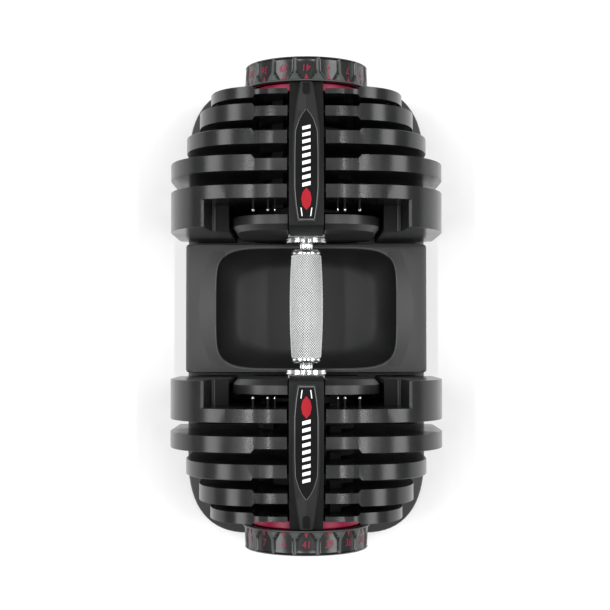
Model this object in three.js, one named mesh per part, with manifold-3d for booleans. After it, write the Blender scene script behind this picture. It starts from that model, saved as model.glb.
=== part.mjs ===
// Adjustable dumbbell with seventeen dial settings, standing in its storage tray.
// Millimetres. +Z up, the handle runs along Y, the origin is on the table under the middle.
// Everything on the rear (+Y) end is drawn once and turned half a turn about Z for the front end.
import * as THREE from "three";
import { mergeVertices } from "three/addons/utils/BufferGeometryUtils.js";
import Module from "manifold-3d";

const wasm = await Module();
wasm.setup();

// ---- driving sizes ----
const AXIS = 128; // height of the handle axis above the table
const SETTINGS = 17; // numbers on the dial
const STEP = (2 * Math.PI) / SETTINGS; // turn from one number to the next
const PLATE_FOOT = -110; // underside of every plate, from the axis
const SLOT = 16.5; // half width of the slot a plate is lifted out by
const SPINE = 14.9; // half width of the bridge that fills the slots
const DISC_R = 44; // selector discs
const HOOK_TURN = 1.5 * STEP; // where a plate's hook sits, clockwise from the top
const SHAFT_R = 5;
const SLEEVE_R = 9;
const FLAT = 7.6; // half distance over the flats of the sleeve
const GAP = 0.3; // running gap between neighbouring pieces
const LOCK_TEETH = 4 * SETTINGS;
const LOCK_TIP = 13;
const LOCK_ROOT = 12.1;
const LOCK_TRAVEL = 1.5;

// The plates from the dial inwards: body along Y, half width, top above the axis,
// depth of the centre channel on the outer and inner face, weight in steps of the dial.
const PLATES = [
  { y0: 181.5, y1: 191.5, wide: 87.6, top: 78, out: 2.7, inn: 2.7, units: 1 },
  { y0: 160.5, y1: 175, wide: 97.8, top: 85, out: 2.7, inn: 2.9, units: 2 },
  { y0: 138, y1: 152, wide: 109.7, top: 93, out: 2.1, inn: 0, units: 3 },
  { y0: 113.5, y1: 127.5, wide: 124, top: 104, out: 3.5, inn: 0, units: 3 },
  { y0: 90, y1: 102, wide: 124, top: 104, out: 0, inn: 0, units: 6 },
  { y0: 66, y1: 79, wide: 67, top: 70, out: 0, inn: 0, units: 1 },
];
const WING = { y0: 66.3, x0: 69.5, step: 88.5, toe: 85.2, low: 40 }; // blocks on the inner face of plate 5
const LEAN = 34; // width of the slanted lower corner of a plate
const RISE = 32; // and its height

// Selector discs: hub from h0 to h1, web from w0 to w1, lifting rims as [plate, from, to].
const DISCS = [
  { h0: 167.9, h1: 185.1, w0: 173.4, w1: 176.2, rims: [[1, 176.2, 181.5]] },
  { h0: 144.4, h1: 167.5, w0: 151, w1: 153.8, rims: [[2, 153.8, 160.5]] },
  { h0: 118.9, h1: 144, w0: 125.2, w1: 128, rims: [[3, 128, 135.5]] },
  { h0: 95.7, h1: 118.5, w0: 102.8, w1: 105.6, rims: [[4, 105.6, 111.5]] },
  { h0: 79.3, h1: 95.3, w0: 83.2, w1: 86, rims: [[5, 86, 88.6], [6, 80.6, 83.2]] },
];
// Hook of each plate along Y, from inside the plate to the hook's free face.
const HOOKS = [[177.5, 185], [156, 164], [131, 139], [107.5, 114.5], [87, 91], [78, 81.8]];

// ---- looks ----
const IRON = { color: 0x2b2c2e, roughness: 0.45, metalness: 0.55 };
const BLACK = { color: 0x151617, roughness: 0.4, metalness: 0 };
const GLOSS = { color: 0x0b0c0d, roughness: 0.12, metalness: 0 };
const DIAL = { color: 0x1c2421, roughness: 0.28, metalness: 0 };
const CRIMSON = { color: 0x8e1230, roughness: 0.4, metalness: 0 };
const CHROME = { color: 0xd8dadd, roughness: 0.12, metalness: 1 };
const STEEL = { color: 0x9a9ca0, roughness: 0.3, metalness: 1 };
const RUBBER = { color: 0x1a1a1a, roughness: 0.9, metalness: 0 };
const TRAY = { color: 0x3a3c3f, roughness: 0.5, metalness: 0 };

// ---- making solids ----
function solid(geometry) {
  const bare = new THREE.BufferGeometry();
  const whole = geometry.index ? geometry.toNonIndexed() : geometry;
  bare.setAttribute("position", whole.getAttribute("position"));
  const merged = mergeVertices(bare, 1e-4);
  const ids = merged.index.array;
  const tris = [];
  for (let i = 0; i < ids.length; i += 3) {
    const [a, b, c] = [ids[i], ids[i + 1], ids[i + 2]];
    if (a !== b && b !== c && c !== a) tris.push(a, b, c);
  }
  const vertProperties = merged.getAttribute("position").array;
  const make = (list) =>
    new wasm.Manifold(new wasm.Mesh({ numProp: 3, vertProperties, triVerts: new Uint32Array(list) }));
  const body = make(tris);
  if (body.volume() > 0) return body;
  for (let i = 0; i < tris.length; i += 3) [tris[i], tris[i + 1]] = [tris[i + 1], tris[i]];
  return make(tris);
}

// A solid through rings of points, all with the same number of points: [[x, y, z], ...].
// The end rings are closed flat, seen along the axis named by flat ("y" or "z").
function loft(rings, flat) {
  const n = rings[0].length;
  const pos = rings.flat(2);
  const ids = [];
  for (let r = 0; r + 1 < rings.length; r++)
    for (let i = 0; i < n; i++) {
      const a = r * n + i;
      const b = r * n + ((i + 1) % n);
      ids.push(a, b, b + n, a, b + n, a + n);
    }
  const seen = (p) => new THREE.Vector2(p[0], flat === "y" ? p[2] : p[1]);
  for (const r of [0, rings.length - 1]) {
    const outline = rings[r].map(seen);
    const turn = Math.sign(THREE.ShapeUtils.area(outline));
    for (const f of THREE.ShapeUtils.triangulateShape(outline, [])) {
      // The last ring's end face runs with its ring, and the first ring's runs against it.
      const own = Math.sign(THREE.ShapeUtils.area(f.map((k) => outline[k])));
      const [a, b, c] = f.map((k) => r * n + k);
      if ((own === turn) === (r > 0)) ids.push(a, b, c);
      else ids.push(a, c, b);
    }
  }
  const g = new THREE.BufferGeometry();
  g.setAttribute("position", new THREE.Float32BufferAttribute(pos, 3));
  g.setIndex(ids);
  return solid(g);
}
const along = (xz, y) => xz.map(([x, z]) => [x, y, z]);
const level = (xy, z) => xy.map(([x, y]) => [x, y, z]);
const prismY = (xz, y0, y1) => loft([along(xz, y0), along(xz, y1)], "y");
const prismZ = (xy, z0, z1) => loft([level(xy, z0), level(xy, z1)], "z");
function prismX(yz, half) {
  const shape = new THREE.Shape(yz.map(([y, z]) => new THREE.Vector2(y, z)));
  const g = new THREE.ExtrudeGeometry(shape, { depth: 2 * half, bevelEnabled: false });
  const turn = new THREE.Matrix4().makeBasis(
    new THREE.Vector3(0, 1, 0),
    new THREE.Vector3(0, 0, 1),
    new THREE.Vector3(1, 0, 0),
  );
  return solid(g.applyMatrix4(turn).translate(-half, 0, 0));
}
// Turned about the handle axis from a closed profile of [radius, y].
function turned(profile, segments = 32) {
  const closed = [...profile, profile[0]].map(([r, y]) => new THREE.Vector2(r, y));
  return solid(new THREE.LatheGeometry(closed, segments));
}
const tube = (r0, r1, y0, y1, n) => turned([[r0, y0], [r1, y0], [r1, y1], [r0, y1]], n);
function rod(r, y0, y1, n = 32) {
  const p = [[0, y0], [r, y0], [r, y1], [0, y1]].map(([a, b]) => new THREE.Vector2(a, b));
  return solid(new THREE.LatheGeometry(p, n));
}
const box = (x0, x1, y0, y1, z0, z1) =>
  prismZ([[x0, y0], [x1, y0], [x1, y1], [x0, y1]], z0, z1);
const upright = (r, x, y, z0, z1) =>
  solid(new THREE.CylinderGeometry(r, r, z1 - z0, 16).rotateX(Math.PI / 2).translate(x, y, (z0 + z1) / 2));

// ---- adding named pieces ----
const dumbbell = new THREE.Group();
dumbbell.name = "adjustable_dumbbell";
function piece(name, body, look, raise = AXIS, turn = 0) {
  const m = body.getMesh();
  const g = new THREE.BufferGeometry();
  g.setAttribute("position", new THREE.Float32BufferAttribute(Array.from(m.vertProperties), 3));
  g.setIndex(Array.from(m.triVerts));
  g.translate(0, 0, raise).rotateZ(turn);
  const drawn = g.toNonIndexed();
  drawn.computeVertexNormals();
  const mesh = new THREE.Mesh(drawn, new THREE.MeshStandardMaterial(look));
  mesh.name = name;
  dumbbell.add(mesh);
}
function pair(name, body, look, raise = AXIS) {
  piece(name + "_rear", body, look, raise);
  piece(name + "_front", body, look, raise, Math.PI);
}

// ---- shared outlines ----
// A point at a turn clockwise from the top, seen from the rear end.
const polar = (r, a) => [-r * Math.sin(a), r * Math.cos(a)];
// Outline of a plate, seen along Y: flat foot, slanted lower corners, rounded shoulders.
function plateOutline(wide, top, inset = 0, slot = true) {
  const w = wide - inset;
  const t = top - inset;
  const foot = PLATE_FOOT + inset;
  const level0 = top - 100 * (wide / 124);
  const crown = 0.26 * wide;
  const half = [[w - LEAN, foot], [w, foot + RISE]];
  for (let i = 0; i <= 6; i++) {
    const a = (i / 6) * (Math.PI / 2);
    const c = Math.max(0, Math.cos(a));
    half.push([crown + (w - crown) * c ** 0.82, level0 + (t - level0) * Math.sin(a) ** 0.82]);
  }
  const pts = [...half];
  if (slot) {
    for (let i = 0; i <= 8; i++) {
      const a = (i / 8) * Math.PI;
      if (i === 0) pts.push([SLOT, t]);
      pts.push([SLOT * Math.cos(a), -SLOT * Math.sin(a)]);
      if (i === 8) pts.push([-SLOT, t]);
    }
  }
  for (const [x, z] of [...half].reverse()) pts.push([-x, z]);
  return pts;
}
// Part of a ring between two turns from the top.
function arc(r0, r1, a0, a1, y0, y1) {
  const n = Math.max(2, Math.round((a1 - a0) / STEP));
  const pts = [];
  for (let i = 0; i <= n; i++) pts.push(polar(r1, a0 + ((a1 - a0) * i) / n));
  for (let i = n; i >= 0; i--) pts.push(polar(r0, a0 + ((a1 - a0) * i) / n));
  return prismY(pts, y0, y1);
}
// The hole that fits over the flats of the sleeve.
function keyedBore(y0, y1) {
  const r = SLEEVE_R + GAP;
  const f = FLAT + GAP;
  return rod(r, y0, y1, 20).intersect(box(-f, f, y0 - 1, y1 + 1, -r - 1, r + 1));
}

// ---- handle ----
const grip = [[SHAFT_R + 0.4, -47.5]];
for (let i = 0; i <= 6; i++) {
  const y = -47.5 + (95 * i) / 6;
  grip.push([13.7 + 1.7 * (1 - (Math.abs(y) / 47.5) ** 2.2), y]);
}
grip.push([SHAFT_R + 0.4, 47.5]);
piece("handle_grip", turned(grip, 28), CHROME);
pair(
  "grip_collar",
  turned([[5.4, 47.8], [13.7, 47.8], [13.7, 51.9], [13, 52.6], [5.4, 52.6]], 24),
  CHROME,
);
pair(
  "hand_guard",
  turned([[5.4, 52.9], [6.4, 52.9], [6.4, 58], [18.9, 58], [19.4, 58.5], [19.4, 62.9], [5.4, 62.9]], 24),
  CHROME,
);
piece(
  "centre_shaft",
  rod(SHAFT_R, -213, 213, 16).subtract(rod(3.4, 196, 214, 12)).subtract(rod(3.4, -214, -196, 12)),
  STEEL,
);
pair(
  "end_bolt",
  rod(3, 198, 214, 12)
    .add(rod(8.5, 213.6, 217.6, 16))
    .subtract(rod(3.2, 215, 218, 6)),
  STEEL,
);

// ---- dial, its cap and the crimson disc behind it ----
const DIAL_RINGS = [ // y, radius on a ridge, in the middle of a facet
  [199.3, 58.6, 58.6],
  [200.8, 58.6, 58.6],
  [201.1, 57.4, 57.4],
  [219.8, 56.6, 55.2],
  [221.8, 55.2, 54.4],
];
const dialRings = DIAL_RINGS.map(([y, ridge, facet]) => {
  const ring = [];
  for (let k = 0; k < 2 * SETTINGS; k++) ring.push(polar(k % 2 ? ridge : facet, (k * STEP) / 2));
  return along(ring, y);
});
const dial = loft(dialRings, "y")
  .subtract(turned([[15.5, 199], [52.5, 199], [51, 212], [15.5, 212]], SETTINGS))
  .subtract(keyedBore(199, 213.3))
  .subtract(rod(10.5, 213.2, 219.5, 16))
  .subtract(rod(30.3, 219, 223, 24));
pair("dial", dial, DIAL);
pair("dial_cap", turned([[0, 219.3], [29.8, 219.3], [29.8, 221.2], [0, 222.1]], 24), GLOSS);
pair(
  "index_disc",
  tube(9.5, 50, 191.8, 199, 28),
  CRIMSON,
);

// ---- selector: keyed sleeve, five discs and the toothed lock ring ----
const sleeve = tube(SHAFT_R + 0.4, SLEEVE_R, 63.3, 212.9, 20)
  .subtract(box(FLAT, 12, 79, 214, -12, 12))
  .subtract(box(-12, -FLAT, 79, 214, -12, 12));
pair("selector_sleeve", sleeve, STEEL);
// Plates lifted at each setting, heaviest first, so the sum meets the dial.
function liftsAt(setting) {
  let left = setting;
  const lifted = new Set();
  for (const p of [5, 4, 3, 2, 1, 6])
    if (PLATES[p - 1].units <= left) {
      left -= PLATES[p - 1].units;
      lifted.add(p);
    }
  return lifted;
}
DISCS.forEach(({ h0, h1, w0, w1, rims }, i) => {
  let disc = rod(DISC_R, w0, w1, SETTINGS).add(rod(13, h0, h1, 16));
  for (const [plate, y0, y1] of rims) {
    // Settings run anticlockwise round the dial, so setting 16 is at the top and 0 one step left.
    let from = null;
    for (let k = 0; k <= SETTINGS; k++) {
      const on = k < SETTINGS && liftsAt(SETTINGS - 1 - k).has(plate);
      if (on && from === null) from = k;
      if (!on && from !== null) {
        const a0 = HOOK_TURN + (from - 0.5) * STEP;
        const a1 = HOOK_TURN + (k - 0.5) * STEP;
        const [lo, hi] = y0 === w1 ? [y0 - 0.5, y1] : [y0, y1 + 0.5];
        disc = disc.add(arc(38, DISC_R, a0, a1, lo, hi));
        from = null;
      }
    }
  }
  pair("selector_disc_" + (i + 1), disc.subtract(keyedBore(h0 - 1, h1 + 1)), BLACK);
});
const teeth = [];
for (let k = 0; k < 2 * LOCK_TEETH; k++)
  teeth.push(polar(k % 2 ? LOCK_TIP : LOCK_ROOT, (k * Math.PI) / LOCK_TEETH));
pair("lock_ring", prismY(teeth, 63.4, 65.7).subtract(rod(SLEEVE_R + GAP, 63, 66, 20)), STEEL);

// ---- lock slide: pushed up by the tray's post, sprung down into the lock ring ----
const hole = [];
const holeR = LOCK_TIP + 0.6;
for (let i = 0; i <= 12; i++) {
  const a = Math.PI + (i / 12) * Math.PI;
  hole.push([holeR * Math.cos(a), holeR * Math.sin(a)]);
}
for (let i = 0; i <= 12; i++) {
  const a = (i / 12) * Math.PI;
  const z = LOCK_TRAVEL + holeR * Math.sin(a);
  if (i === 6) hole.push([0.8, z], [0, LOCK_TIP + 0.75], [-0.8, z]);
  else hole.push([holeR * Math.cos(a), z]);
}
const slideOutline = [[-6, -24], [6, -24], [7, -20], [16.8, -9], [16.8, 13], [12, 20], [-12, 20],
  [-16.8, 13], [-16.8, -9], [-7, -20]];
pair("lock_slide", prismY(slideOutline, 63.4, 65.7).subtract(prismY(hole, 63, 66)), STEEL);
const leaf = [];
for (let i = 0; i <= 8; i++) leaf.push([-12 + 3 * i, 20.4 + 3.4 * ((i - 4) / 4) ** 2]);
for (let i = 8; i >= 0; i--) leaf.push([-12 + 3 * i, 21.1 + 3.4 * ((i - 4) / 4) ** 2]);
pair("lock_spring", prismY(leaf, 63.6, 65.5), STEEL);

// ---- bridge over the discs ----
// Height of the bridge's top along Y, above the axis.
const CREST = [[198.5, 55], [186, 67], [168, 83], [145, 96.5], [120, 105.5], [100, 108], [70, 108]];
const lifted = (d) => CREST.map(([y, z]) => [y, z + d]);
const underside = [[63.4, 25], [78.6, 25], [78.6, 46.5], [185.5, 46.5], [185.5, 25], [191.3, 25],
  [191.3, 50.7], [198.5, 50.7]];
const cheek = [[-SPINE, 30]];
for (let i = 0; i <= 12; i++) {
  const a = Math.PI + (i / 12) * Math.PI;
  cheek.push([SPINE * Math.cos(a), SPINE * Math.sin(a)]);
}
cheek.push([SPINE, 30]);
const hollow = [[82, 40], [182, 40], [182, 64], [168, 76.5], [145, 90], [120, 99], [100, 101.5], [82, 101.5]];
const frame = prismX([...underside, ...CREST, [63.4, 99]], SPINE)
  .add(prismY(cheek, 66.4, 78.6).subtract(rod(11.8, 66, 79, 20)))
  .add(prismY(cheek, 185.5, 191.3).subtract(rod(9.5, 185, 192, 20)))
  .subtract(prismX(hollow, 11.6));
pair("bridge_frame", frame, BLACK);
pair("sleeve_bush", tube(SLEEVE_R + GAP, 11.5, 66.7, 78.4, 20), { ...STEEL, color: 0xa8843e });

// Leaf-shaped cover on the bridge, and the label let into it.
const LEAF = [[197.8, 5.1], [173.5, 8.6], [149, 10.7], [130, 11], [96.5, 11], [82, 9.6], [69, 7.5]];
const leafPlan = (inset) => [
  ...LEAF.map(([y, x]) => [x - inset, y]),
  ...[...LEAF].reverse().map(([y, x]) => [inset - x, y]),
];
const labelPlan = (inset) => {
  const side = [[148, 8.9], [130, 9.4], [97, 9.4], [83, 8.2], [71, 6.4]].map(([y, x]) => [x - inset, y]);
  side[4][1] += inset;
  return [[0, 168 - inset], ...side, ...side.map(([x, y]) => [-x, y]).reverse()];
};
const band = (d0, d1) => {
  const end = [69 - 6, 108];
  return prismX([...lifted(d1), [end[0], end[1] + d1], [end[0], end[1] + d0], ...lifted(d0).reverse()], 15);
};
const cover = prismZ(leafPlan(0), 40, 130)
  .intersect(band(GAP, 5.5))
  .subtract(prismZ(labelPlan(0), 40, 130).intersect(band(4.3, 8)));
pair("bridge_cover", cover, BLACK);
pair("label", prismZ(labelPlan(GAP), 40, 130).intersect(band(4.6, 5.3)), GLOSS);

// ---- weight plates ----
PLATES.forEach(({ y0, y1, wide, top, out, inn }, i) => {
  const at = (y, inset) => along(plateOutline(wide, top, inset), y);
  const rings = i === 5
    ? [at(y0, 5), at(y0 + 5, 0), at(y1, 0)]
    : [at(y0, 0), at(y1 - 1, 0), at(y1, 1)];
  let plate = loft(rings, "y");
  const channel = (face, depth) => {
    const deep = face > y0 ? face - depth : face + depth;
    const past = face > y0 ? face + 1 : face - 1;
    return prismZ([[-48, past], [48, past], [48 - depth, deep], [depth - 48, deep]], -50, 140);
  };
  if (out) plate = plate.subtract(channel(y1, out));
  if (inn) plate = plate.subtract(channel(y0, inn));
  if (i === 4) {
    // Side blocks reaching in beside the hand, with a step along their inner edge.
    const block = prismY(plateOutline(wide, top, 0, false), WING.y0, y0 + 1);
    for (const s of [-1, 1]) {
      const [a, b] = [s * WING.x0, s * 130].sort((p, q) => p - q);
      let wing = block.intersect(box(a, b, WING.y0 - 1, y0 + 2, -120, 120));
      const notch = [[60, WING.low], [WING.toe, WING.low], [WING.step, 78], [WING.step, 120], [60, 120]];
      wing = wing.subtract(prismY(notch.map(([x, z]) => [s * x, z]), WING.y0 - 1, y0));
      plate = plate.add(wing);
    }
  }
  const [h0, h1] = HOOKS[i];
  plate = plate.add(arc(DISC_R + 0.6, 50, HOOK_TURN - 0.12, HOOK_TURN + 0.12, h0, h1));
  pair("plate_" + (i + 1), plate, IRON);
});

// ---- storage tray ----
const TRAY_W = 117.5;
const TRAY_L = 222.5;
function trayPlan(inset) {
  const pts = [];
  for (const [sx, sy, flip] of [[1, 1, 0], [-1, 1, 1], [-1, -1, 0], [1, -1, 1]]) {
    const run = [];
    for (let i = 0; i <= 6; i++) {
      const a = (i / 6) * (Math.PI / 2);
      const [c, d] = [Math.max(0, Math.cos(a)) ** 0.8, Math.sin(a) ** 0.8];
      run.push([sx * (55 + (TRAY_W - 55 - inset) * c), sy * (145 + (TRAY_L - 145 - inset) * d)]);
    }
    pts.push(...(flip ? run.reverse() : run));
  }
  return pts;
}
function roundedPlan(hx, hy, r, n = 4) {
  const pts = [];
  [[1, 1], [-1, 1], [-1, -1], [1, -1]].forEach(([sx, sy], q) => {
    for (let i = 0; i <= n; i++) {
      const a = ((q + i / n) * Math.PI) / 2;
      pts.push([sx * (hx - r) + r * Math.cos(a), sy * (hy - r) + r * Math.sin(a)]);
    }
  });
  return pts;
}
let tray = loft(
  [level(trayPlan(3), 3), level(trayPlan(0), 8), level(trayPlan(0), 31), level(trayPlan(3), 34)],
  "z",
);
tray = tray.add(
  loft(
    [level(roundedPlan(TRAY_W, 62.5, 3, 1), 20), level(roundedPlan(TRAY_W, 62.5, 3, 1), 59),
      level(roundedPlan(TRAY_W - 3, 62, 3, 1), 62)],
    "z",
  ),
);
// Crescent-shaped rise of each rail towards the bowl.
for (const s of [-1, 1]) {
  const rings = [];
  for (let i = 0; i <= 8; i++) {
    const y = -56 + 14 * i;
    const out = 92 + 12.6 * (1 - (y / 56) ** 2);
    const up = 62.2 + 5.8 * (1 - Math.abs(y / 56) ** 3);
    rings.push(along([[out, 60], [out, 62.1], [85.5, up], [80, up], [80, 60]].map(([x, z]) => [s * x, z]), y));
  }
  tray = tray.add(loft(rings, "y"));
}
// The bowl that gives the fingers room under the grip.
function bowlPlan(hx, hy, power) {
  const pts = [];
  for (let i = 0; i < 32; i++) {
    const a = ((i + 0.5) * Math.PI) / 16;
    const [c, d] = [Math.cos(a), Math.sin(a)];
    pts.push([hx * Math.sign(c) * Math.abs(c) ** (2 / power), hy * Math.sign(d) * Math.abs(d) ** (2 / power)]);
  }
  return pts;
}
tray = tray.subtract(
  loft(
    [level(bowlPlan(60, 40, 4), 25), level(bowlPlan(72, 48, 4), 30), level(bowlPlan(84, 56, 5.5), 52),
      level(bowlPlan(87.5, 59, 6), 64), level(bowlPlan(87.7, 59.2, 6), 72)],
    "z",
  ),
);
// A pocket for every plate, with the ribs between them left standing.
for (const { y0, y1, wide, top } of PLATES)
  for (const s of [-1, 1]) {
    const [a, b] = [s * (y0 - 0.6), s * (y1 + 0.6)].sort((p, q) => p - q);
    const rings = [a, b].map((y) =>
      along(plateOutline(wide, top, -0.5, false), y).map(([x, v, z]) => [x, v, z + AXIS]));
    tray = tray.subtract(loft(rings, "y"));
  }
const five = PLATES[4];
for (const sy of [-1, 1])
  for (const sx of [-1, 1]) {
    const [a, b] = [sy * (WING.y0 - 0.6), sy * (five.y0 + 1)].sort((p, q) => p - q);
    const rings = [a, b].map((y) =>
      along(plateOutline(five.wide, five.top, -0.5, false), y).map(([x, v, z]) => [x, v, z + AXIS]));
    const [c, d] = [sx * (WING.x0 - 0.6), sx * 130].sort((p, q) => p - q);
    tray = tray.subtract(loft(rings, "y").intersect(box(c, d, -130, 130, 0, 260)));
  }
// Open underside: a shallow recess under the floor and one deep one under each rail.
tray = tray.subtract(prismZ(trayPlan(6), -1, 13.5));
for (const s of [-1, 1]) {
  const [a, b] = [s * 92, s * 113].sort((p, q) => p - q);
  tray = tray.subtract(box(a, b, -57, 57, 10, 57));
}
for (const x of [-85, 85])
  for (const y of [-150, 150]) tray = tray.add(upright(12, x, y, 3, 15));
piece("base_tray", tray, TRAY, 0);
[[-85, -150, "front_left"], [85, -150, "front_right"], [-85, 150, "rear_left"], [85, 150, "rear_right"]]
  .forEach(([x, y, where]) => piece("foot_" + where, upright(10, x, y, 0, 2.7), RUBBER, 0));
// Posts on the tray that hold the lock slides up while the dumbbell is put away.
pair("release_post", box(-6, 6, 62.9, 65.3, 34.3, AXIS - 24 - GAP), TRAY, 0);

export default dumbbell;
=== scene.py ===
"""Adjustable dumbbell in its storage tray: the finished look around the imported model."""

import math

import bmesh
import bpy
from mathutils import Matrix, Vector


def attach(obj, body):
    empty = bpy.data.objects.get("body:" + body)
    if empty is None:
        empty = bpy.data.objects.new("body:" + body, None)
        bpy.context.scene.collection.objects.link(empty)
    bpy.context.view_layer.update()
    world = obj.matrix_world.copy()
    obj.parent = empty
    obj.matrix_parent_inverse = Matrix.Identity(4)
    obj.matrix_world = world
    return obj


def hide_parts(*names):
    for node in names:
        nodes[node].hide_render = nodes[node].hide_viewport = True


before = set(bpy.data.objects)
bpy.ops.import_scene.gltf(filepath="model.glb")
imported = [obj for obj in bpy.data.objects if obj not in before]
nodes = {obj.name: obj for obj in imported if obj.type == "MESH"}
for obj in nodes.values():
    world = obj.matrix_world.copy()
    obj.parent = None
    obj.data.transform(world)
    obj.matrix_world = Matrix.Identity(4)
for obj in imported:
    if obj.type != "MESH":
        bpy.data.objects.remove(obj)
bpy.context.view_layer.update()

# ---- sizes, in millimetres, heights from the handle axis unless said otherwise ----
AXIS = 128
SETTINGS = 17
STEP = 2 * math.pi / SETTINGS
KILOS = [4, 7, 9, 11, 14, 16, 18, 20, 23, 25, 27, 30, 32, 34, 36, 39, 41]
FOOT = -110
SLOT = 16.5
SPINE = 14.9
LEAN, RISE = 34, 32
# from y, to y, half width, top, depth of the centre channel on the outer and the inner face
PLATES = [
    (181.5, 191.5, 87.6, 78, 2.7, 2.7),
    (160.5, 175, 97.8, 85, 2.7, 2.9),
    (138, 152, 109.7, 93, 2.1, 0),
    (113.5, 127.5, 124, 104, 3.5, 0),
    (90, 102, 124, 104, 0, 0),
    (66, 79, 67, 70, 0, 0),
]
WING_Y, WING_X = 66.3, 69.5
WING_NOTCH = [(60, 40), (81.8, 40), (85.0, 41.5), (85.4, 43), (88.2, 80), (88.4, 87.2),
              (91, 88.4), (92.5, 89.1), (92.5, 120), (60, 120)]
CREST = [(198.5, 55), (186, 67), (168, 83), (145, 96.5), (120, 105.5), (100, 108), (70, 108)]
LEAF = [(197.8, 5.1), (173.5, 8.6), (149, 10.7), (130, 11), (96.5, 11), (82, 9.6), (69, 7.5)]


# ---- mesh making ----
def made(verts, faces):
    """A mesh in metres from points in millimetres, joined up and facing outwards."""
    me = bpy.data.meshes.new("part")
    me.from_pydata([tuple(c * 0.001 for c in v) for v in verts], [], faces)
    bm = bmesh.new()
    bm.from_mesh(me)
    bmesh.ops.remove_doubles(bm, verts=bm.verts, dist=1e-6)
    bmesh.ops.recalc_face_normals(bm, faces=bm.faces)
    bm.to_mesh(me)
    bm.free()
    return me


def loft(rings, close=True):
    """A skin through rings of points, with both ends closed unless told otherwise."""
    n = len(rings[0])
    verts = [p for r in rings for p in r]
    faces = []
    for k in range(len(rings) - 1):
        for i in range(n):
            a, b = k * n + i, k * n + (i + 1) % n
            faces.append((a, b, b + n, a + n))
    if close:
        faces.append(tuple(range(n))[::-1])
        faces.append(tuple(range((len(rings) - 1) * n, len(rings) * n)))
    return made(verts, faces)


def along(xz, y):
    """Points of an outline seen along Y, measured from the handle axis."""
    return [(x, y, z + AXIS) for x, z in xz]


def level(xy, z):
    """Points of an outline seen from above, at a height above the floor."""
    return [(x, y, z) for x, y in xy]


def prism_y(xz, y0, y1):
    return loft([along(xz, y0), along(xz, y1)])


def prism_z(xy, z0, z1):
    return loft([level(xy, z0), level(xy, z1)])


def prism_x(yz, half):
    return loft([[(s * half, y, z + AXIS) for y, z in yz] for s in (-1, 1)])


def turned(profile, n=96, closed=True):
    """Round about the handle axis from [radius, y] points; a closed profile is a ring."""
    rings = []
    for k in range(n):
        a = 2 * math.pi * k / n
        rings.append([(-r * math.sin(a), y, AXIS + r * math.cos(a)) for r, y in profile])
    m = len(profile)
    verts = [p for r in rings for p in r]
    faces = []
    for k in range(n):
        for i in range(m if closed else m - 1):
            a, b = k * m + i, k * m + (i + 1) % m
            c, d = ((k + 1) % n) * m + (i + 1) % m, ((k + 1) % n) * m + i
            faces.append((a, b, c, d))
    return made(verts, faces)


def boxed(x0, x1, y0, y1, z0, z1):
    return prism_z([(x0, y0), (x1, y0), (x1, y1), (x0, y1)], z0, z1)


def combined(base, tools):
    """base with each (mesh, operation) applied in turn, as a new mesh."""
    o = bpy.data.objects.new("work", base)
    bpy.context.scene.collection.objects.link(o)
    extra = []
    for me, op in tools:
        t = bpy.data.objects.new("tool", me)
        bpy.context.scene.collection.objects.link(t)
        m = o.modifiers.new("cut", "BOOLEAN")
        m.object, m.operation, m.solver = t, op, "MANIFOLD"
        extra.append(t)
    bpy.context.view_layer.update()
    out = bpy.data.meshes.new_from_object(o.evaluated_get(bpy.context.evaluated_depsgraph_get()))
    for p in out.polygons:
        p.material_index = 0
    for t in [o, *extra]:
        bpy.data.objects.remove(t)
    return out


def smooth(me, degrees):
    for p in me.polygons:
        p.use_smooth = True
    me.set_sharp_from_angle(angle=math.radians(degrees))


def place(name, me, body, look, stands_for=(), slot=None, bevel=0.0, segments=2, angle=32,
          edge_highlight_look=-1):
    """A finished piece riding on a body, in place of the named CAD nodes if any are given."""
    o = bpy.data.objects.new(name, me)
    bpy.context.scene.collection.objects.link(o)
    kinds = [p.material_index for p in me.polygons]
    me.materials.clear()
    for m in look if isinstance(look, (list, tuple)) else [look]:
        me.materials.append(m)
    for p, kind in zip(me.polygons, kinds):
        p.material_index = kind
    if angle:
        smooth(me, angle)
    if bevel:
        b = o.modifiers.new("edges", "BEVEL")
        b.width, b.segments, b.limit_method = bevel * 0.001, segments, "ANGLE"
        b.angle_limit, b.harden_normals, b.use_clamp_overlap = math.radians(38), True, True
        b.material = edge_highlight_look
    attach(o, body)
    if stands_for:
        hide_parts(*stands_for)
    return o


def both(name, me, body, look, stands_for=(), **more):
    """The piece on the rear end, and the same turned half round for the front end."""
    other = me.copy()
    other.transform(Matrix.Rotation(math.pi, 4, "Z"))
    for end, mesh in (("rear", me), ("front", other)):
        place(f"{name}_{end}", mesh, body.replace("END", end), look,
              [s.replace("END", end) for s in stands_for], **more)


# ---- materials ----
CLOUD = 25  # scale of the broad noise


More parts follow.
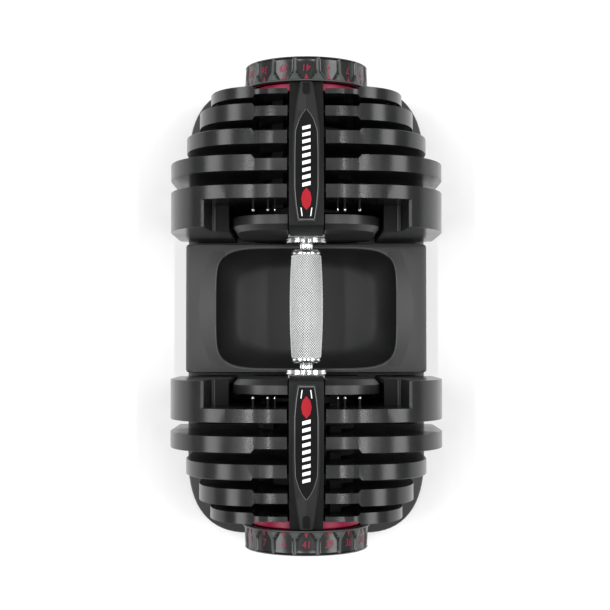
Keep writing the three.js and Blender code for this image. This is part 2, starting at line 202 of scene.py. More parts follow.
def surface(name, dark, light, rough, metallic=0.0, grain=900, bump=0.06, wear=0.0, specular=0.5,
            brushed=False):
    """A material with a broad and a fine noise in its colour, roughness and relief."""
    m = bpy.data.materials.new(name)
    m.use_nodes = True
    n, l = m.node_tree.nodes, m.node_tree.links
    b = n["Principled BSDF"]
    b.inputs["Metallic"].default_value = metallic
    b.inputs["Specular IOR Level"].default_value = specular
    at = n.new("ShaderNodeTexCoord")
    broad = n.new("ShaderNodeTexNoise")
    broad.inputs["Scale"].default_value = CLOUD
    broad.inputs["Detail"].default_value = 4
    l.new(at.outputs["Object"], broad.inputs["Vector"])
    fine = n.new("ShaderNodeTexNoise")
    fine.inputs["Scale"].default_value = grain
    fine.inputs["Detail"].default_value = 3
    if brushed:
        stretch = n.new("ShaderNodeMapping")
        stretch.inputs["Scale"].default_value = (1, 0.04, 1)
        l.new(at.outputs["Object"], stretch.inputs["Vector"])
        l.new(stretch.outputs["Vector"], fine.inputs["Vector"])
    else:
        l.new(at.outputs["Object"], fine.inputs["Vector"])
    both_noises = n.new("ShaderNodeMath")
    both_noises.operation = "MULTIPLY_ADD"
    both_noises.inputs[1].default_value = 0.6
    l.new(fine.outputs["Fac"], both_noises.inputs[0])
    l.new(broad.outputs["Fac"], both_noises.inputs[2])
    ramp = n.new("ShaderNodeValToRGB")
    ramp.color_ramp.elements[0].position, ramp.color_ramp.elements[1].position = 0.55, 1.05
    ramp.color_ramp.elements[0].color = (*dark, 1)
    ramp.color_ramp.elements[1].color = (*light, 1)
    l.new(both_noises.outputs[0], ramp.inputs["Fac"])
    colour = ramp.outputs["Color"]
    if wear:
        geo = n.new("ShaderNodeNewGeometry")
        edge = n.new("ShaderNodeMapRange")
        edge.inputs["From Min"].default_value, edge.inputs["From Max"].default_value = 0.53, 0.62
        edge.inputs["To Max"].default_value = wear
        l.new(geo.outputs["Pointiness"], edge.inputs["Value"])
        mix = n.new("ShaderNodeMix")
        mix.data_type = "RGBA"
        mix.inputs[7].default_value = (*[min(1, c * 5 + 0.08) for c in light], 1)
        l.new(edge.outputs["Result"], mix.inputs[0])
        l.new(colour, mix.inputs[6])
        colour = mix.outputs[2]
    l.new(colour, b.inputs["Base Color"])
    polish = n.new("ShaderNodeMapRange")
    polish.inputs["From Min"].default_value, polish.inputs["From Max"].default_value = 0.3, 0.7
    polish.inputs["To Min"].default_value, polish.inputs["To Max"].default_value = rough
    l.new(broad.outputs["Fac"], polish.inputs["Value"])
    l.new(polish.outputs["Result"], b.inputs["Roughness"])
    if bump:
        relief = n.new("ShaderNodeBump")
        relief.inputs["Strength"].default_value = bump
        relief.inputs["Distance"].default_value = 0.0004
        l.new(fine.outputs["Fac"], relief.inputs["Height"])
        l.new(relief.outputs["Normal"], b.inputs["Normal"])
    return m


IRON = surface("satin_iron", (0.007, 0.0073, 0.0076), (0.013, 0.0133, 0.0136), (0.20, 0.26), 0.0,
               1100, 0.05, wear=0.05, specular=0.36)
IRON_MATT = surface("matt_iron", (0.013, 0.0133, 0.0136), (0.021, 0.0213, 0.0216), (0.38, 0.46),
                    0.0, 1100, 0.06, wear=0.05)
# Painted shade: a flat near-black laid on hooks, ledges, stud shafts and the pointer notch where
# the gaps fall into shade.
PAINTED_SHADE = surface("painted_shade_black", (0.003, 0.003, 0.003), (0.005, 0.005, 0.005), (0.6, 0.7),
                grain=1500, bump=0.06, specular=0.2)
BLACK = surface("moulded_black", (0.006, 0.0063, 0.0063), (0.009, 0.0094, 0.0094), (0.62, 0.72),
                grain=1500, bump=0.06, specular=0.25)
RIDGE = surface("bridge_charcoal", (0.012, 0.0124, 0.0124), (0.017, 0.0174, 0.0174), (0.58, 0.68),
                grain=1500, bump=0.06, wear=0.06, specular=0.3)
GLOSS = surface("gloss_black", (0.0015, 0.0015, 0.0018), (0.003, 0.003, 0.0033), (0.08, 0.14),
                grain=600, bump=0.01, specular=0.4)
DIAL = surface("dial_facets", (0.006, 0.0068, 0.0064), (0.010, 0.0112, 0.0105), (0.18, 0.28),
               grain=700, bump=0.05)
# A lighter tone on the dial's raised ridges: a painted highlight.
DIAL_RIDGE_HIGHLIGHT = surface("dial_ridges", (0.036, 0.042, 0.039), (0.052, 0.059, 0.055), (0.30, 0.42),
                     grain=900, bump=0.05, specular=0.4)
CRIMSON = surface("crimson_print", (0.17, 0.008, 0.030), (0.23, 0.012, 0.042), (0.32, 0.42),
                  grain=1500, bump=0.03, specular=0.3)
INDEX = surface("crimson_plastic", (0.30, 0.004, 0.042), (0.40, 0.008, 0.058), (0.30, 0.42),
                grain=1200, bump=0.05, specular=0.3)
CHROME = surface("chrome", (0.86, 0.865, 0.87), (0.94, 0.943, 0.946), (0.08, 0.15), 1.0, 700,
                 0.015)
STEEL = surface("brushed_steel", (0.42, 0.43, 0.44), (0.56, 0.57, 0.58), (0.26, 0.38), 1.0, 1600,
                0.08, brushed=True)
BRONZE = surface("bearing_bronze", (0.42, 0.27, 0.10), (0.58, 0.40, 0.18), (0.35, 0.5), 1.0, 1800,
                 0.08)
RUBBER = surface("foot_rubber", (0.012, 0.012, 0.012), (0.022, 0.022, 0.022), (0.8, 0.92),
                 grain=1300, bump=0.2)
TRAY = surface("tray_plastic", (0.023, 0.0234, 0.0238), (0.031, 0.0314, 0.0318), (0.42, 0.52),
               grain=1600, bump=0.10, specular=0.4)
# A lighter grey for the tray's bevelled edges and the bowl's lip bead: a painted highlight.
TRAY_EDGE_HIGHLIGHT = surface("tray_edge_highlight", (0.055, 0.056, 0.057), (0.075, 0.076, 0.077), (0.40, 0.50),
                    grain=1600, bump=0.08)
# The tray plastic darkened as painted shade for the bowl, which lies in the shade of the handle
# and plates.
BOWL_SHADE = surface("bowl_painted_shade", (0.012, 0.0122, 0.0125), (0.016, 0.0162, 0.0165), (0.50, 0.60),
               grain=1600, bump=0.06, specular=0.35)
WHITE = surface("white_print", (0.80, 0.80, 0.80), (0.90, 0.90, 0.90), (0.35, 0.45), grain=1500,
                bump=0.02)
RED = surface("red_print", (0.28, 0.005, 0.012), (0.36, 0.009, 0.018), (0.30, 0.40), grain=1500,
              bump=0.02, specular=0.12)
KNURL = surface("knurled_chrome", (0.84, 0.845, 0.85), (0.94, 0.943, 0.946), (0.28, 0.36), 0.30,
                700, 0.015)
# A darker metal for the knurl's grooves: painted shade in the grooves.
KNURL_PIT_SHADE = surface("knurl_pit_shade", (0.16, 0.163, 0.166), (0.24, 0.243, 0.246), (0.35, 0.45), 0.8,
                    900, 0.02)
# A mid grey for the thin strip round the label: a painted highlight along the label's edge.
LABEL_EDGE_HIGHLIGHT = surface("label_edge_highlight", (0.10, 0.103, 0.106), (0.14, 0.143, 0.146), (0.25, 0.35), grain=1500,
               bump=0.02)


# ---- weight plates ----
def dip(x):
    """How far the crown of a plate lies below the plain curve: it bends down between 26 and 45."""
    t = min(19.0, max(0.0, x - 26))
    return t * t * 0.0058 * min(1.0, max(0.0, (95 - x) / 46))


def with_bends(half):
    """The outline with the bend of the crown put in."""
    xs = [20.0, 26.0, 28.4, 30.8, 33.2, 35.6, 38.0, 40.4, 42.8, 45.2]
    out = []
    for k, (x, z) in enumerate(half):
        if k and half[k - 1][0] > x and z > 30:
            xa, za = half[k - 1]
            for c in sorted((c for c in xs if x < c < xa), reverse=True):
                out.append((c, za + (z - za) * (xa - c) / (xa - x)))
        out.append((x, z))
    last = out[-1]
    out += [(c, last[1]) for c in sorted((c for c in xs if SLOT < c < last[0]), reverse=True)]
    return [(x, z - dip(x)) if z > 30 else (x, z) for x, z in out]


CORNER = 14  # parts of a plate's rounded corner


def plate_outline(wide, top, inset=0.0, slot=True):
    """A plate seen along Y: flat foot, leaning corners, rounded crown, slot for the bridge."""
    w, t, foot = wide - inset, top - inset, FOOT + inset
    low = top - 100 * (wide / 124)
    crown = 0.26 * wide
    half = [(w - LEAN, foot), (w, foot + RISE)]
    for i in range(CORNER + 1):
        a = i / CORNER * math.pi / 2
        c = max(0.0, math.cos(a))
        half.append((crown + (w - crown) * c ** 0.82, low + (t - low) * math.sin(a) ** 0.82))
    half = with_bends(half) if wide > 80 else half
    pts = list(half)
    if slot:
        pts.append((SLOT, t))
        for i in range(17):
            a = i / 16 * math.pi
            pts.append((SLOT * math.cos(a), -SLOT * math.sin(a)))
        pts.append((-SLOT, t))
    return pts + [(-x, z) for x, z in half[::-1]]


def ring_part(r0, r1, a0, a1, y0, y1, n=6):
    """Part of a ring about the handle axis, between two radii and two turns."""
    at = lambda r, k: (-r * math.sin(a0 + (a1 - a0) * k / n), r * math.cos(a0 + (a1 - a0) * k / n))
    outer, inner = [at(r1, k) for k in range(n + 1)], [at(r0, k) for k in range(n, -1, -1)]
    return prism_y(outer + inner, y0, y1)


# from y, to y of the hook under each plate, which its selector disc lifts
HOOKS = [(177.5, 185), (156, 164), (131, 139), (107.5, 114.5), (87, 91), (78, 81.8)]
for i, (y0, y1, wide, top, out, inn) in enumerate(PLATES):
    if i == 5:
        rings = [along(plate_outline(wide, top, 5), y0), along(plate_outline(wide, top), y0 + 5),
                 along(plate_outline(wide, top), y1)]
    else:
        rings = [along(plate_outline(wide, top), y0), along(plate_outline(wide, top), y1)]
    tools = []
    for face, depth, way in ((y1, out, 1), (y0, inn, -1)):
        if depth:
            inner, past = face - way * depth, face + way
            channel = [(-48, past), (48, past), (48 - depth, inner), (depth - 48, inner)]
            tools.append((prism_z(channel, 78, 270), "DIFFERENCE"))
    if i == 4:
        block = prism_y(plate_outline(wide, top, 0, False), WING_Y, y0 + 1)
        for s in (-1, 1):
            a, b = sorted((s * WING_X, s * 130))
            notch = [(s * x, z) for x, z in WING_NOTCH]
            wing = combined(block.copy(), [
                (boxed(a, b, WING_Y - 1, y0 + 2, 0, 260), "INTERSECT"),
                (prism_y(notch, WING_Y - 1, y0), "DIFFERENCE")])
            tools.append((wing, "UNION"))
    h0, h1 = HOOKS[i]
    tools.append((ring_part(44.6, 50, 1.5 * STEP - 0.12, 1.5 * STEP + 0.12, h0, h1), "UNION"))
    plate = combined(loft(rings), tools)
    # Hooks and the low ledge beside plate 5's side blocks get the painted shade material, standing
    # in for the shade in the gaps.
    for p in plate.polygons:
        x, y, z = p.center * 1000
        hook = not y0 - 0.1 < y < y1 + 0.1 and 44 < math.hypot(x, z - AXIS) < 51
        ledge = i == 4 and 69 < abs(x) < 83 and abs(z - AXIS - 40) < 0.5
        if hook or ledge:
            p.material_index = 1
    both(f"iron_plate_{i + 1}", plate, f"plate_{i + 1}_END", [IRON if i < 5 else IRON_MATT, PAINTED_SHADE],
         [f"plate_{i + 1}_END"], slot="iron", bevel=0.9, segments=3)

# Studs on the inner face of plate 5 with chromed tips; their shafts are painted shade, standing in
# for the shade of the gap.
for k, (x, z, r) in enumerate([(46, 86, 1.5), (33, 88, 1.6), (27, 88, 1.1)]):
    for side in (-1, 1):
        prof = [(0.001, 90.3), (r, 90.3), (r, 88.4), (r * 0.6, 88), (r * 0.6, 83.4), (r, 83),
                (r, 81.6), (r * 0.8, 80.8), (r * 0.4, 80.1), (0.001, 80)]
        stud = turned(prof, 20, closed=False)
        stud.transform(Matrix.Translation((side * x * 0.001, 0, z * 0.001)))
        for p in stud.polygons:
            p.material_index = 1 if p.center.y < 0.0822 else 0
        hand = "left" if side < 0 else "right"
        both(f"stud_{k + 1}_{hand}", stud, "plate_5_END", [PAINTED_SHADE, CHROME])


# ---- dials ----
DIAL_FROM, DIAL_TO = 201.2, 220.9
DIAL_R, DIAL_TAPER, FACET_DEPTH = 57.4, 0.9, 1.4


def blend01(t):
    """Smooth step from 0 to 1."""
    t = min(1.0, max(0.0, t))
    return t * t * (3 - 2 * t)


def dial_shape(a, y):
    """Radius at a turn a from the middle of a facet, and how much of it is raised ridge."""
    v = (y - DIAL_FROM) / (DIAL_TO - DIAL_FROM)
    outer = DIAL_R - DIAL_TAPER * max(0, v)
    u = abs(a) / (STEP / 2)
    edge = 0.42 + 0.40 * blend01((v + 0.02) / 0.42)
    ridge = blend01((u - edge) / 0.16)
    fade = blend01((0.985 - v) / 0.08)
    return outer - FACET_DEPTH * (1 - ridge) * fade * blend01((v + 0.12) / 0.14), ridge


ROWS = [199.3, 199.6, 200.5, 200.8, 201.2, 202.2, 203.4, 204.6, 206, 208, 210, 213, 216, 218.4,
        219.4, 220.3, 221, 221.5, 221.8]
COLS = SETTINGS * 20
verts, ridge_of = [], []
for y in ROWS:
    for k in range(COLS):
        a = 2 * math.pi * k / COLS
        off = (a + STEP / 2) % STEP - STEP / 2
        if y < 201:
            r, g = (58.6 if 199.4 < y < 200.6 else 58.3), 1.0
        elif y > 220.3:
            r, g = dial_shape(off, 220.3)
            r -= {221: 0.4, 221.5: 0.95, 221.8: 1.8}[y]
            g = 0.0
        else:
            r, g = dial_shape(off, y)
        verts.append((-r * math.sin(a), y, AXIS + r * math.cos(a)))
        ridge_of.append(g)
n = COLS
# Faces lying mostly on the raised ridges get the lighter ridge material, a painted highlight.
faces, kinds = [], []
for k in range(len(ROWS) - 1):
    for i in range(n):
        ids = (k * n + i, k * n + (i + 1) % n, (k + 1) * n + (i + 1) % n, (k + 1) * n + i)
        faces.append(ids)
        kinds.append(1 if sum(ridge_of[j] for j in ids) / 4 > 0.6 else 0)


def add_ring(r, y):
    """Adds a plain ring of the dial's points and gives the number of its first."""
    start = len(verts)
    for k in range(n):
        a = 2 * math.pi * k / n
        verts.append((-r * math.sin(a), y, AXIS + r * math.cos(a)))
    return start


def bridge_rings(a, b):
    """Joins two rings of the dial by their first points' numbers."""
    for i in range(n):
        faces.append((a + i, a + (i + 1) % n, b + (i + 1) % n, b + i))
        kinds.append(0)


last = (len(ROWS) - 1) * n
# The dial's face and its hollow back.
for r, y in [(51.2, 221.8), (50.2, 221.2), (31.6, 221.2), (30.3, 220.5), (30.3, 219), (10.5, 219),
             (10.5, 213.3), (9.3, 213.3), (9.3, 199.3), (15.5, 199.3), (15.5, 212), (51, 212),
             (52.5, 199.3)]:
    here = add_ring(r, y)
    bridge_rings(last, here)
    last = here
bridge_rings(last, 0)
me = bpy.data.meshes.new("dial")
me.from_pydata([tuple(c * 0.001 for c in v) for v in verts], [], faces)
for p, kind in zip(me.polygons, kinds):
    p.material_index = kind
bm = bmesh.new()
bm.from_mesh(me)
bmesh.ops.recalc_face_normals(bm, faces=bm.faces)
bm.to_mesh(me)
bm.free()
both("scalloped_dial", me, "dial_END", [DIAL, DIAL_RIDGE_HIGHLIGHT], ["dial_END"], slot="dial_plastic",
     angle=50)
cap = [(0.01, 219.3), (29.6, 219.3), (29.6, 220.8), (29, 221.3), (27.4, 221.5), (26.6, 221.1),
       (25.4, 221.1), (24.6, 221.5), (12, 221.9), (0.01, 222.05)]
both("face_cap", turned(cap, 96, closed=False), "dial_END", GLOSS, ["dial_cap_END"],
     slot="gloss_black")


def on_facet(me, turn, y, lift):
    """Puts a flat drawing, in millimetres in XY, on a facet, with its up towards the middle."""
    r0, _ = dial_shape(0, y - 2)
    r1, _ = dial_shape(0, y + 2)
    r, _ = dial_shape(0, y)
    out = Vector((0, (r0 - r1), 4)).normalized()
    up = Vector((0, -out.z, out.y))
    right = up.cross(out)
    base = Matrix((
        (right.x, up.x, out.x, 0),
        (right.y, up.y, out.y, y * 0.001),
        (right.z, up.z, out.z, r * 0.001),
        (0, 0, 0, 1)))
    base = Matrix.Translation(out * lift * 0.001) @ base
    spin = Matrix.Rotation(-turn, 4, "Y")
    me.transform(Matrix.Translation((0, 0, AXIS * 0.001)) @ spin @ base @ Matrix.Scale(0.001, 4))


def drawn(parts):
    """One mesh from several."""
    bm = bmesh.new()
    for p in parts:
        bm.from_mesh(p)
    me = bpy.data.meshes.new("drawn")
    bm.to_mesh(me)
    bm.free()
    return me


NUMBER_Y, POINTER_Y, NUMBER_SIZE = 211.9, 203.9, 9.2
numbers = []
for i, kilos in enumerate(KILOS):
    turn = (SETTINGS - 1 - i) * STEP
    curve = bpy.data.curves.new("number", "FONT")
    curve.body, curve.size = str(kilos), NUMBER_SIZE
    curve.align_x, curve.align_y = "CENTER", "CENTER"
    curve.extrude, curve.shear, curve.offset = 0.08, 0.12, 0.12
    curve.resolution_u = 4
    o = bpy.data.objects.new("number", curve)
    bpy.context.scene.collection.objects.link(o)
    bpy.context.view_layer.update()
    me = bpy.data.meshes.new_from_object(o.evaluated_get(bpy.context.evaluated_depsgraph_get()))
    bpy.data.objects.remove(o)
    me.transform(Matrix.Diagonal((0.86, 1.0, 1.0, 1.0)))
    on_facet(me, turn, NUMBER_Y, 0.1)
    numbers.append(me)
    tri = bpy.data.meshes.new("pointer")
    pts = [(-1.9, 2.5), (1.9, 2.5), (0, -2.4)]
    tri.from_pydata([(x, y, z) for z in (0, 0.15) for x, y in pts], [],
                    [(2, 1, 0), (3, 4, 5), (0, 1, 4, 3), (1, 2, 5, 4), (2, 0, 3, 5)])
    on_facet(tri, turn, POINTER_Y, 0.1)
    numbers.append(tri)
both("dial_numbers", drawn(numbers), "dial_END", CRIMSON, angle=0)
index = [(9.5, 191.8), (49.4, 191.8), (50, 192.4), (50, 198.3), (49.3, 199), (9.5, 199)]
both("index_ring", turned(index, 96), "handle", INDEX, ["index_disc_END"], slot="crimson")


# ---- bridges ----
def crest_curve(y):
    """Height of the bridge's top, smooth through the CREST points."""
    pts = sorted(CREST)
    if y <= pts[0][0]:
        return pts[0][1]
    for k in range(len(pts) - 1):
        (ya, za), (yb, zb) = pts[k], pts[k + 1]
        if y <= yb:
            before = pts[max(k - 1, 0)]
            after = pts[min(k + 2, len(pts) - 1)]
            ma = (zb - before[1]) / (yb - before[0])
            mb = (after[1] - za) / (after[0] - ya)
            if k == 0:
                ma = 0.0
            t, h = (y - ya) / (yb - ya), yb - ya
            return ((2 * t**3 - 3 * t**2 + 1) * za + (t**3 - 2 * t**2 + t) * h * ma
                    + (3 * t**2 - 2 * t**3) * zb + (t**3 - t**2) * h * mb)
    return pts[-1][1]


CREST_TOP = 108 - 0.3


def crest(y):
    """Height of the bridge's top, kept just under the CAD solid's."""
    return min(crest_curve(y), CREST_TOP)


def lerp(table, y):
    """The table's value at y, straight between its points."""
    pts = sorted(table)
    if y <= pts[0][0]:
        return pts[0][1]
    for (ya, a), (yb, b) in zip(pts, pts[1:]):
        if y <= yb:
            t = (y - ya) / (yb - ya)
            return a + (b - a) * t
    return pts[-1][1]


spread = [198.5 - (198.5 - 70) * k / 40 for k in range(41)]
spine = [(63.4, 25), (78.6, 25), (78.6, 46.5), (185.5, 46.5), (185.5, 25), (191.3, 25),
         (191.3, 50.7), (198.5, 50.7)]
spine += [(y, crest(y)) for y in spread] + [(66.5, 106.4), (63.4, 100)]
cheek = [(-SPINE, 30)] + [(SPINE * math.cos(math.pi + a), SPINE * math.sin(math.pi + a))
                          for a in [k * math.pi / 16 for k in range(17)]] + [(SPINE, 30)]
wall = combined(prism_x(spine, SPINE), [
    (prism_y(cheek, 66.4, 78.6), "UNION"),
    (prism_y(cheek, 185.5, 191.3), "UNION"),
    (turned([(0.5, 62), (11.8, 62), (11.8, 79), (0.5, 79)], 48), "DIFFERENCE"),
    (turned([(0.5, 184), (9.5, 184), (9.5, 192), (0.5, 192)], 48), "DIFFERENCE"),
    (prism_x([(82, 40), (182, 40), (182, 62), (168, 75), (145, 88), (120, 97), (100, 100),
              (82, 100)], 11.6), "DIFFERENCE")])
both("bridge_wall", wall, "handle", BLACK, ["bridge_frame_END"], slot="black_plastic", bevel=0.8,
     segments=3)

LABEL = [(71, 6.4), (83, 8.2), (97, 9.4), (130, 9.4), (148, 8.9), (158, 6.0), (164, 3.2),
         (168, 0.05)]
LEAF_ROWS, LEAF_RISE = 64, 5.5
leaf_rings = []
for k in range(LEAF_ROWS):
    y = 69 + (197.8 - 69) * k / (LEAF_ROWS - 1)
    w, base = lerp(LEAF, y), crest(y)
    top = base + LEAF_RISE
    inside = 70.7 <= y <= 168
    lw = min((lerp(LABEL, y) + 0.25) if inside else 0.05, w - 1.6)
    d = 0.9 if inside and lw > 0.4 else 0.02
    r = 1.1
    half = [(w + 0.9, base + 0.35), (w + 0.15, base + 2.2), (w, top - r),
            (w - 0.32 * r, top - 0.32 * r), (w - r, top), (lw + 0.02, top), (lw, top - d)]
    leaf_rings.append(along(half + [(-x, z) for x, z in half[::-1]], y))
both("bridge_leaf", loft(leaf_rings), "handle", RIDGE, ["bridge_cover_END"],
     slot="black_plastic", angle=40)


def on_crest(outline, lift, thick):
    """A thin sheet of the given outline [(x, y)...] lying on the bridge."""
    top = [(x, y, crest(y) + AXIS + lift + thick) for x, y in outline]
    low = [(x, y, crest(y) + AXIS + lift) for x, y in outline]
    return loft([low, top])


def strip(width_at, y0, y1, lift, thick, rows=40, inner=None):
    """A sheet as wide as width_at(y) on the bridge, or two rails if inner(y) is given."""
    sides = [(lambda y: -width_at(y), width_at)] if inner is None else [
        (lambda y: -width_at(y), lambda y: -inner(y)), (inner, width_at)]
    parts = []
    for left, right in sides:
        rings = []
        for k in range(rows + 1):
            y = y0 + (y1 - y0) * k / rows
            z = crest(y) + AXIS + lift
            a, b = left(y), right(y)
            rings.append([(a, y, z), (b, y, z), (b, y, z + thick), (a, y, z + thick)])
        parts.append(loft(rings))
    return drawn(parts)


both("label_inset", strip(lambda y: max(0.05, lerp(LABEL, y)), 71, 168, 4.65, 0.65), "handle",
     GLOSS, ["label_END"], slot="gloss_black", angle=40)
# A thin grey strip round the label: a painted highlight along the label's edge.
edge_highlight_strip = drawn([
    strip(lambda y: max(0.1, lerp(LABEL, y)) + 0.62, 70.4, 168.6, 5.3, 0.28, 60,
          inner=lambda y: max(0.02, lerp(LABEL, y) + 0.1)),
    strip(lambda y: 7.0, 70.4, 71.0, 5.3, 0.28, 1)])
both("label_border", edge_highlight_strip, "handle", LABEL_EDGE_HIGHLIGHT, angle=40)
# Generic marks: a scale of slanted bars, a red lozenge and two short lines.
bars = []
for k in range(9):
    y = 149.5 - 6.3 * k
    w = 3.5
    bars.append(on_crest([(-w, y - 1.0), (w, y + 0.8), (w, y + 4.0), (-w, y + 2.2)], 5.32, 0.16))
for s in (-1, 1):
    pts = [(s * 3.2, 73.4), (s * 4.0, 73.4), (s * 5.0, 80.5), (s * 4.2, 80.5)]
    bars.append(on_crest(pts if s > 0 else pts[::-1], 5.32, 0.16))
both("label_bars", drawn(bars), "handle", WHITE, angle=0)
lozenge = [(0, 78.5), (3.4, 82.5), (4.4, 88), (3.4, 93.5), (0, 97.5), (-3.4, 93.5), (-4.4, 88),
           (-3.4, 82.5)]
both("label_lozenge", on_crest(lozenge, 5.32, 0.18), "handle", RED, angle=0)
NOTCH_R, NOTCH_Y = 3.4, 187.4


def notch_half(y):
    """Half width of the pointer's notch: a half round towards the label, then nearly straight."""
    if y < NOTCH_Y:
        return math.sqrt(max(0.01, NOTCH_R ** 2 - (NOTCH_Y - y) ** 2))
    return NOTCH_R - (y - NOTCH_Y) * 0.04


# The pointer's notch is a thin sheet in painted shade on the bridge, standing in for the shade
# inside the slot.
both("pointer_notch", strip(notch_half, NOTCH_Y - NOTCH_R, 196.8, 5.2, 0.5, 48), "handle", PAINTED_SHADE,
     angle=30)

# ---- handle ----
FINE = 4  # points across one diamond of the knurling
ROUND = LONG = 38 * FINE
GRIP_HALF, GRIP_END, GRIP_SWELL, KNURL_DEPTH = 47.5, 13.7, 1.7, 0.55


def wave(t):
    """Triangle wave: 1 at whole numbers, 0 half way between them."""
    return abs(2 * (t % 1.0) - 1)


rings = []
for j in range(LONG + 1):
    y = -GRIP_HALF + 2 * GRIP_HALF * j / LONG
    rad = GRIP_END + GRIP_SWELL * (1 - (abs(y) / GRIP_HALF) ** 2.2)
    ring = []
    for i in range(ROUND):
        u, v = i / FINE, j / FINE
        h = min(wave(u + v), wave(u - v))
        ends = blend01((GRIP_HALF - abs(y)) / 1.2)
        r = rad - KNURL_DEPTH * (1 - h) * ends - 0.3 * (1 - ends)
        a = 2 * math.pi * i / ROUND
        ring.append((r * math.sin(a), y, AXIS + r * math.cos(a)))
    rings.append(ring)
grip = loft(rings)
# Faces in the knurl's grooves get the darker pit material, painted shade in the grooves.
for p in grip.polygons:
    x, y, z = p.center * 1000
    if abs(y) < 47.2:
        u = math.atan2(x, z - AXIS) / (2 * math.pi) * ROUND / FINE
        v = (y + GRIP_HALF) / (2 * GRIP_HALF) * LONG / FINE
        p.material_index = 1 if wave(u + v) + wave(u - v) < 0.62 else 0
place("knurled_grip", grip, "handle", [KNURL, KNURL_PIT_SHADE], ["handle_grip"], "chrome", angle=0)
collar = [(5.4, 47.8), (13.1, 47.8), (13.7, 48.4), (13.7, 51.2), (13.2, 52.1), (12.2, 52.6),
          (5.4, 52.6)]
guard = [(5.4, 52.9), (6.1, 52.9), (6.4, 53.3), (6.4, 57.2), (7.2, 58), (18.7, 58), (19.4, 58.7),
         (19.4, 59.8), (18.9, 60.1), (18.9, 60.7), (19.4, 61), (19.4, 62.3), (18.8, 62.9),
         (5.4, 62.9)]
for name, outline, node in (("collar", collar, "grip_collar_END"),
                            ("guard", guard, "hand_guard_END")):
    both(name, turned(outline, 72), "handle", CHROME, [node], slot="chrome", angle=40)


# ---- storage tray, heights from the floor ----
TRAY_W, TRAY_L = 117.5, 222.5
BLOCK_Y, BLOCK_TOP, BLOCK_R = 62.5, 62, 3
CRESCENT_Y, CRESCENT_STEP = 56, 4
POCKET_GAP = 0.6
FOOT_X, FOOT_Y, BOSS_R = 85, 150, 12
# half width, half length, power and height of the bowl, from its floor up past its lip
BOWL_RINGS = [(60, 40, 4, 25), (67, 44.5, 4, 26.5), (72, 48, 4, 30), (79, 53, 4.8, 40),
              (84, 56, 5.5, 52), (87.5, 59, 6, 64), (87.7, 59.2, 6, 72)]


def tray_plan(inset, n=16):
    """The tray from above: straight sides and broadly rounded ends."""
    pts = []
    for sx, sy, flip in ((1, 1, 0), (-1, 1, 1), (-1, -1, 0), (1, -1, 1)):
        run = [(sx * (55 + (TRAY_W - 55 - inset) * max(0.0, math.cos(a)) ** 0.8),
                sy * (145 + (TRAY_L - 145 - inset) * math.sin(a) ** 0.8))
               for a in [i / n * math.pi / 2 for i in range(n + 1)]]
        pts += run[::-1] if flip else run
    return pts


def rounded_plan(hx, hy, r, n=8):
    """A rectangle from above with round corners."""
    pts = []
    for q, (sx, sy) in enumerate(((1, 1), (-1, 1), (-1, -1), (1, -1))):
        for i in range(n + 1):
            a = (q + i / n) * math.pi / 2
            pts.append((sx * (hx - r) + r * math.cos(a), sy * (hy - r) + r * math.sin(a)))
    return pts


def bowl_plan(hx, hy, power, n=96):
    """The bowl from above: an ellipse drawn out towards a rectangle by its power."""
    pts = []
    for i in range(n):
        c, d = math.cos((i + 0.5) * 2 * math.pi / n), math.sin((i + 0.5) * 2 * math.pi / n)
        pts.append((math.copysign(hx * abs(c) ** (2 / power), c),
                    math.copysign(hy * abs(d) ** (2 / power), d)))
    return pts


def crescent(y):
    """How far out the raised crescent beside the bowl reaches, and how high it stands."""
    rise = 1 - (y / CRESCENT_Y) ** 2
    return 92 + 12.6 * rise, 62.2 + 5.8 * rise ** 1.5


def lip_height(x, y):
    """Height of the tray's top at the bowl's lip."""
    if abs(x) < 80 or abs(y) >= CRESCENT_Y:
        return BLOCK_TOP
    out, up = crescent(y)
    return up + (62.1 - up) * min(1, max(0, abs(x) - 85.5) / (out - 85.5))


tools = [
    (loft([level(rounded_plan(TRAY_W, BLOCK_Y, BLOCK_R), 20),
           level(rounded_plan(TRAY_W, BLOCK_Y, BLOCK_R), 59),
           level(rounded_plan(TRAY_W - 0.9, 62.3, BLOCK_R), 61),
           level(rounded_plan(TRAY_W - 3, 62, BLOCK_R), BLOCK_TOP)]), "UNION")]
for s in (-1, 1):
    rings = []
    for y in range(-CRESCENT_Y, CRESCENT_Y + 1, CRESCENT_STEP):
        out, up = crescent(y)
        section = ((out, 60), (out, 62.1), (85.5, up), (80, up), (80, 60))
        rings.append([(s * x, y, z) for x, z in section])
    tools.append((loft(rings), "UNION"))
bowl = loft([level(bowl_plan(hx, hy, power), z) for hx, hy, power, z in BOWL_RINGS])
tools.append((bowl, "DIFFERENCE"))
# Pockets for the plates and for the side blocks of plate 5.
for y0, y1, wide, top, _, _ in PLATES:
    for s in (-1, 1):
        a, b = sorted((s * (y0 - POCKET_GAP), s * (y1 + POCKET_GAP)))
        tools.append((prism_y(plate_outline(wide, top, -0.5, False), a, b), "DIFFERENCE"))
for sy in (-1, 1):
    for sx in (-1, 1):
        a, b = sorted((sy * (WING_Y - POCKET_GAP), sy * 91))
        c, d = sorted((sx * (WING_X - POCKET_GAP), sx * 130))
        pocket = combined(prism_y(plate_outline(124, 104, -0.5, False), a, b),
                          [(boxed(c, d, -130, 130, 0, 260), "INTERSECT")])
        tools.append((pocket, "DIFFERENCE"))
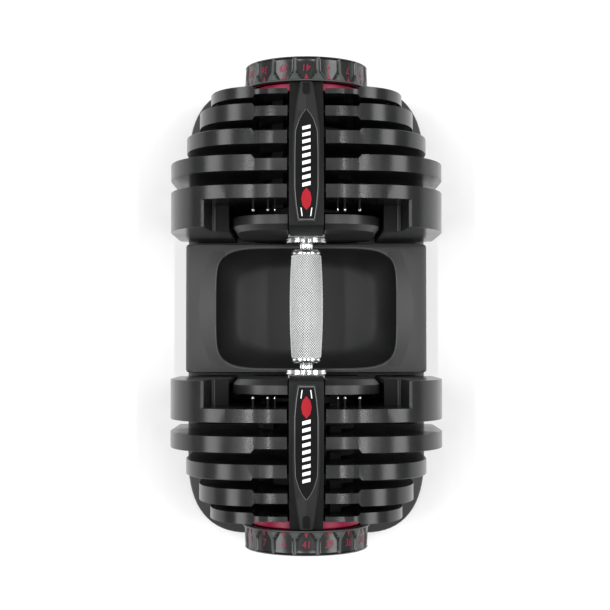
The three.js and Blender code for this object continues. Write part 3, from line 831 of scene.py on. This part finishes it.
# The hollow underneath, the hollow side rails, and the bosses that hold the feet.
tools.append((prism_z(tray_plan(6), -1, 13.5), "DIFFERENCE"))
for s in (-1, 1):
    a, b = sorted((s * 92, s * 113))
    tools.append((boxed(a, b, -57, 57, 10, 57), "DIFFERENCE"))
circle = [(BOSS_R * math.cos(k * math.pi / 16), BOSS_R * math.sin(k * math.pi / 16))
          for k in range(32)]
for x in (-FOOT_X, FOOT_X):
    for y in (-FOOT_Y, FOOT_Y):
        tools.append((prism_z([(x + p, y + q) for p, q in circle], 3, 15), "UNION"))
# inset and height of the tray's rim, from below
skirt = [(3, 3), (0.8, 5), (0, 8), (0, 30), (0.9, 33), (3, 34)]
tray = combined(loft([level(tray_plan(inset), z) for inset, z in skirt]), tools)
# Faces of the bowl get the darker bowl material: painted shade under the handle and plates.
for p in tray.polygons:
    x, y, z = p.center * 1000
    inside = (abs(x) / 88) ** 6 + (abs(y) / 59.5) ** 6 < 1.03
    if inside and 24.5 < z < 69 and (z < 26 or 0.001 < p.normal.z < (0.98 if z < 60 else 0.3)):
        p.material_index = 1
# The tray's bevelled edges take the lighter edge material, a painted highlight.
place("storage_tray", tray, "base", [TRAY, BOWL_SHADE, TRAY_EDGE_HIGHLIGHT], ["base_tray"], "tray_plastic",
      bevel=0.7, angle=30, edge_highlight_look=2)

# A thin bead round the bowl's lip, in the lighter edge grey as a painted highlight.
lip = []
for (xa, ya), (xb, yb) in zip(bowl_plan(87.9, 59.4, 6), bowl_plan(88.5, 60.0, 6)):
    za, zb = lip_height(xa, ya), lip_height(xb, yb)
    lip.append([(xa, ya, za - 0.3), (xb, yb, zb - 0.3), (xb, yb, zb + 0.15), (xa, ya, za + 0.15)])
place("bowl_lip", loft([*lip, lip[0]], close=False), "base", TRAY_EDGE_HIGHLIGHT)

# ---- pieces that keep their own shape ----
KEPT = {"selector_disc": BLACK, "centre_shaft": STEEL, "selector_sleeve": STEEL, "lock_": STEEL,
        "end_bolt": STEEL, "sleeve_bush": BRONZE, "foot": RUBBER, "release_post": TRAY}
for name, o in nodes.items():
    for start, look in KEPT.items():
        if name.startswith(start):
            o.data.materials.clear()
            o.data.materials.append(look)
            b = o.modifiers.new("edges", "BEVEL")
            b.width, b.segments = 0.00025, 2
            b.limit_method, b.angle_limit = "ANGLE", math.radians(40)

# ---- floor, light and camera, in metres ----
FLOOR = 6
SIDE_SIZE, SIDE_POWER = (1.8, 0.7), 24
CAMERA_AT, CAMERA_TO, LENS = (-0.0012, -0.034, 1.378), (-0.0012, 0.0014, 0.128), 79.6
me = bpy.data.meshes.new("floor")
me.from_pydata([(-FLOOR, -FLOOR, 0), (FLOOR, -FLOOR, 0), (FLOOR, FLOOR, 0), (-FLOOR, FLOOR, 0)],
               [], [(0, 1, 2, 3)])
floor = bpy.data.objects.new("floor", me)
bpy.context.scene.collection.objects.link(floor)
pale = bpy.data.materials.new("pale_floor")
pale.use_nodes = True
pale.node_tree.nodes["Principled BSDF"].inputs["Base Color"].default_value = (0.92, 0.92, 0.92, 1)
pale.node_tree.nodes["Principled BSDF"].inputs["Roughness"].default_value = 0.6
me.materials.append(pale)

world = bpy.data.worlds.new("studio")
world.use_nodes = True
world.node_tree.nodes["Background"].inputs["Color"].default_value = (1, 1, 1, 1)
world.node_tree.nodes["Background"].inputs["Strength"].default_value = 0.40
bpy.context.scene.world = world


def lamp(name, at, aim, size, power):
    """A soft rectangular light; its size is given along Y first."""
    d = bpy.data.lights.new(name, "AREA")
    d.shape, d.size, d.size_y, d.energy = "RECTANGLE", size[0], size[1], power
    o = bpy.data.objects.new(name, d)
    bpy.context.scene.collection.objects.link(o)
    o.location = at
    o.rotation_euler = (Vector(aim) - Vector(at)).to_track_quat("-Z", "Y").to_euler()


lamp("left_box", (-1.5, 0.1, 1.3), (0, 0, 0.1), SIDE_SIZE, SIDE_POWER)
lamp("right_box", (1.5, 0.1, 1.3), (0, 0, 0.1), SIDE_SIZE, SIDE_POWER)
for way, side in ((-1, "left"), (1, "right")):
    lamp(f"{side}_inner_strip", (way * 0.30, 0.0, 1.5), (way * 0.03, 0, 0.2), (0.8, 0.05), 4.8)
    lamp(f"{side}_outer_strip", (way * 0.59, 0.0, 1.5), (way * 0.04, 0, 0.2), (0.8, 0.06), 0.7)

cam = bpy.data.cameras.new("camera")
cam.lens, cam.sensor_width = LENS, 36
camera = bpy.data.objects.new("camera", cam)
bpy.context.scene.collection.objects.link(camera)
camera.location = CAMERA_AT
look_at = Vector(CAMERA_TO)
camera.rotation_euler = (look_at - camera.location).to_track_quat("-Z", "Y").to_euler()
bpy.context.scene.camera = camera
bpy.context.scene.view_settings.view_transform = "Standard"
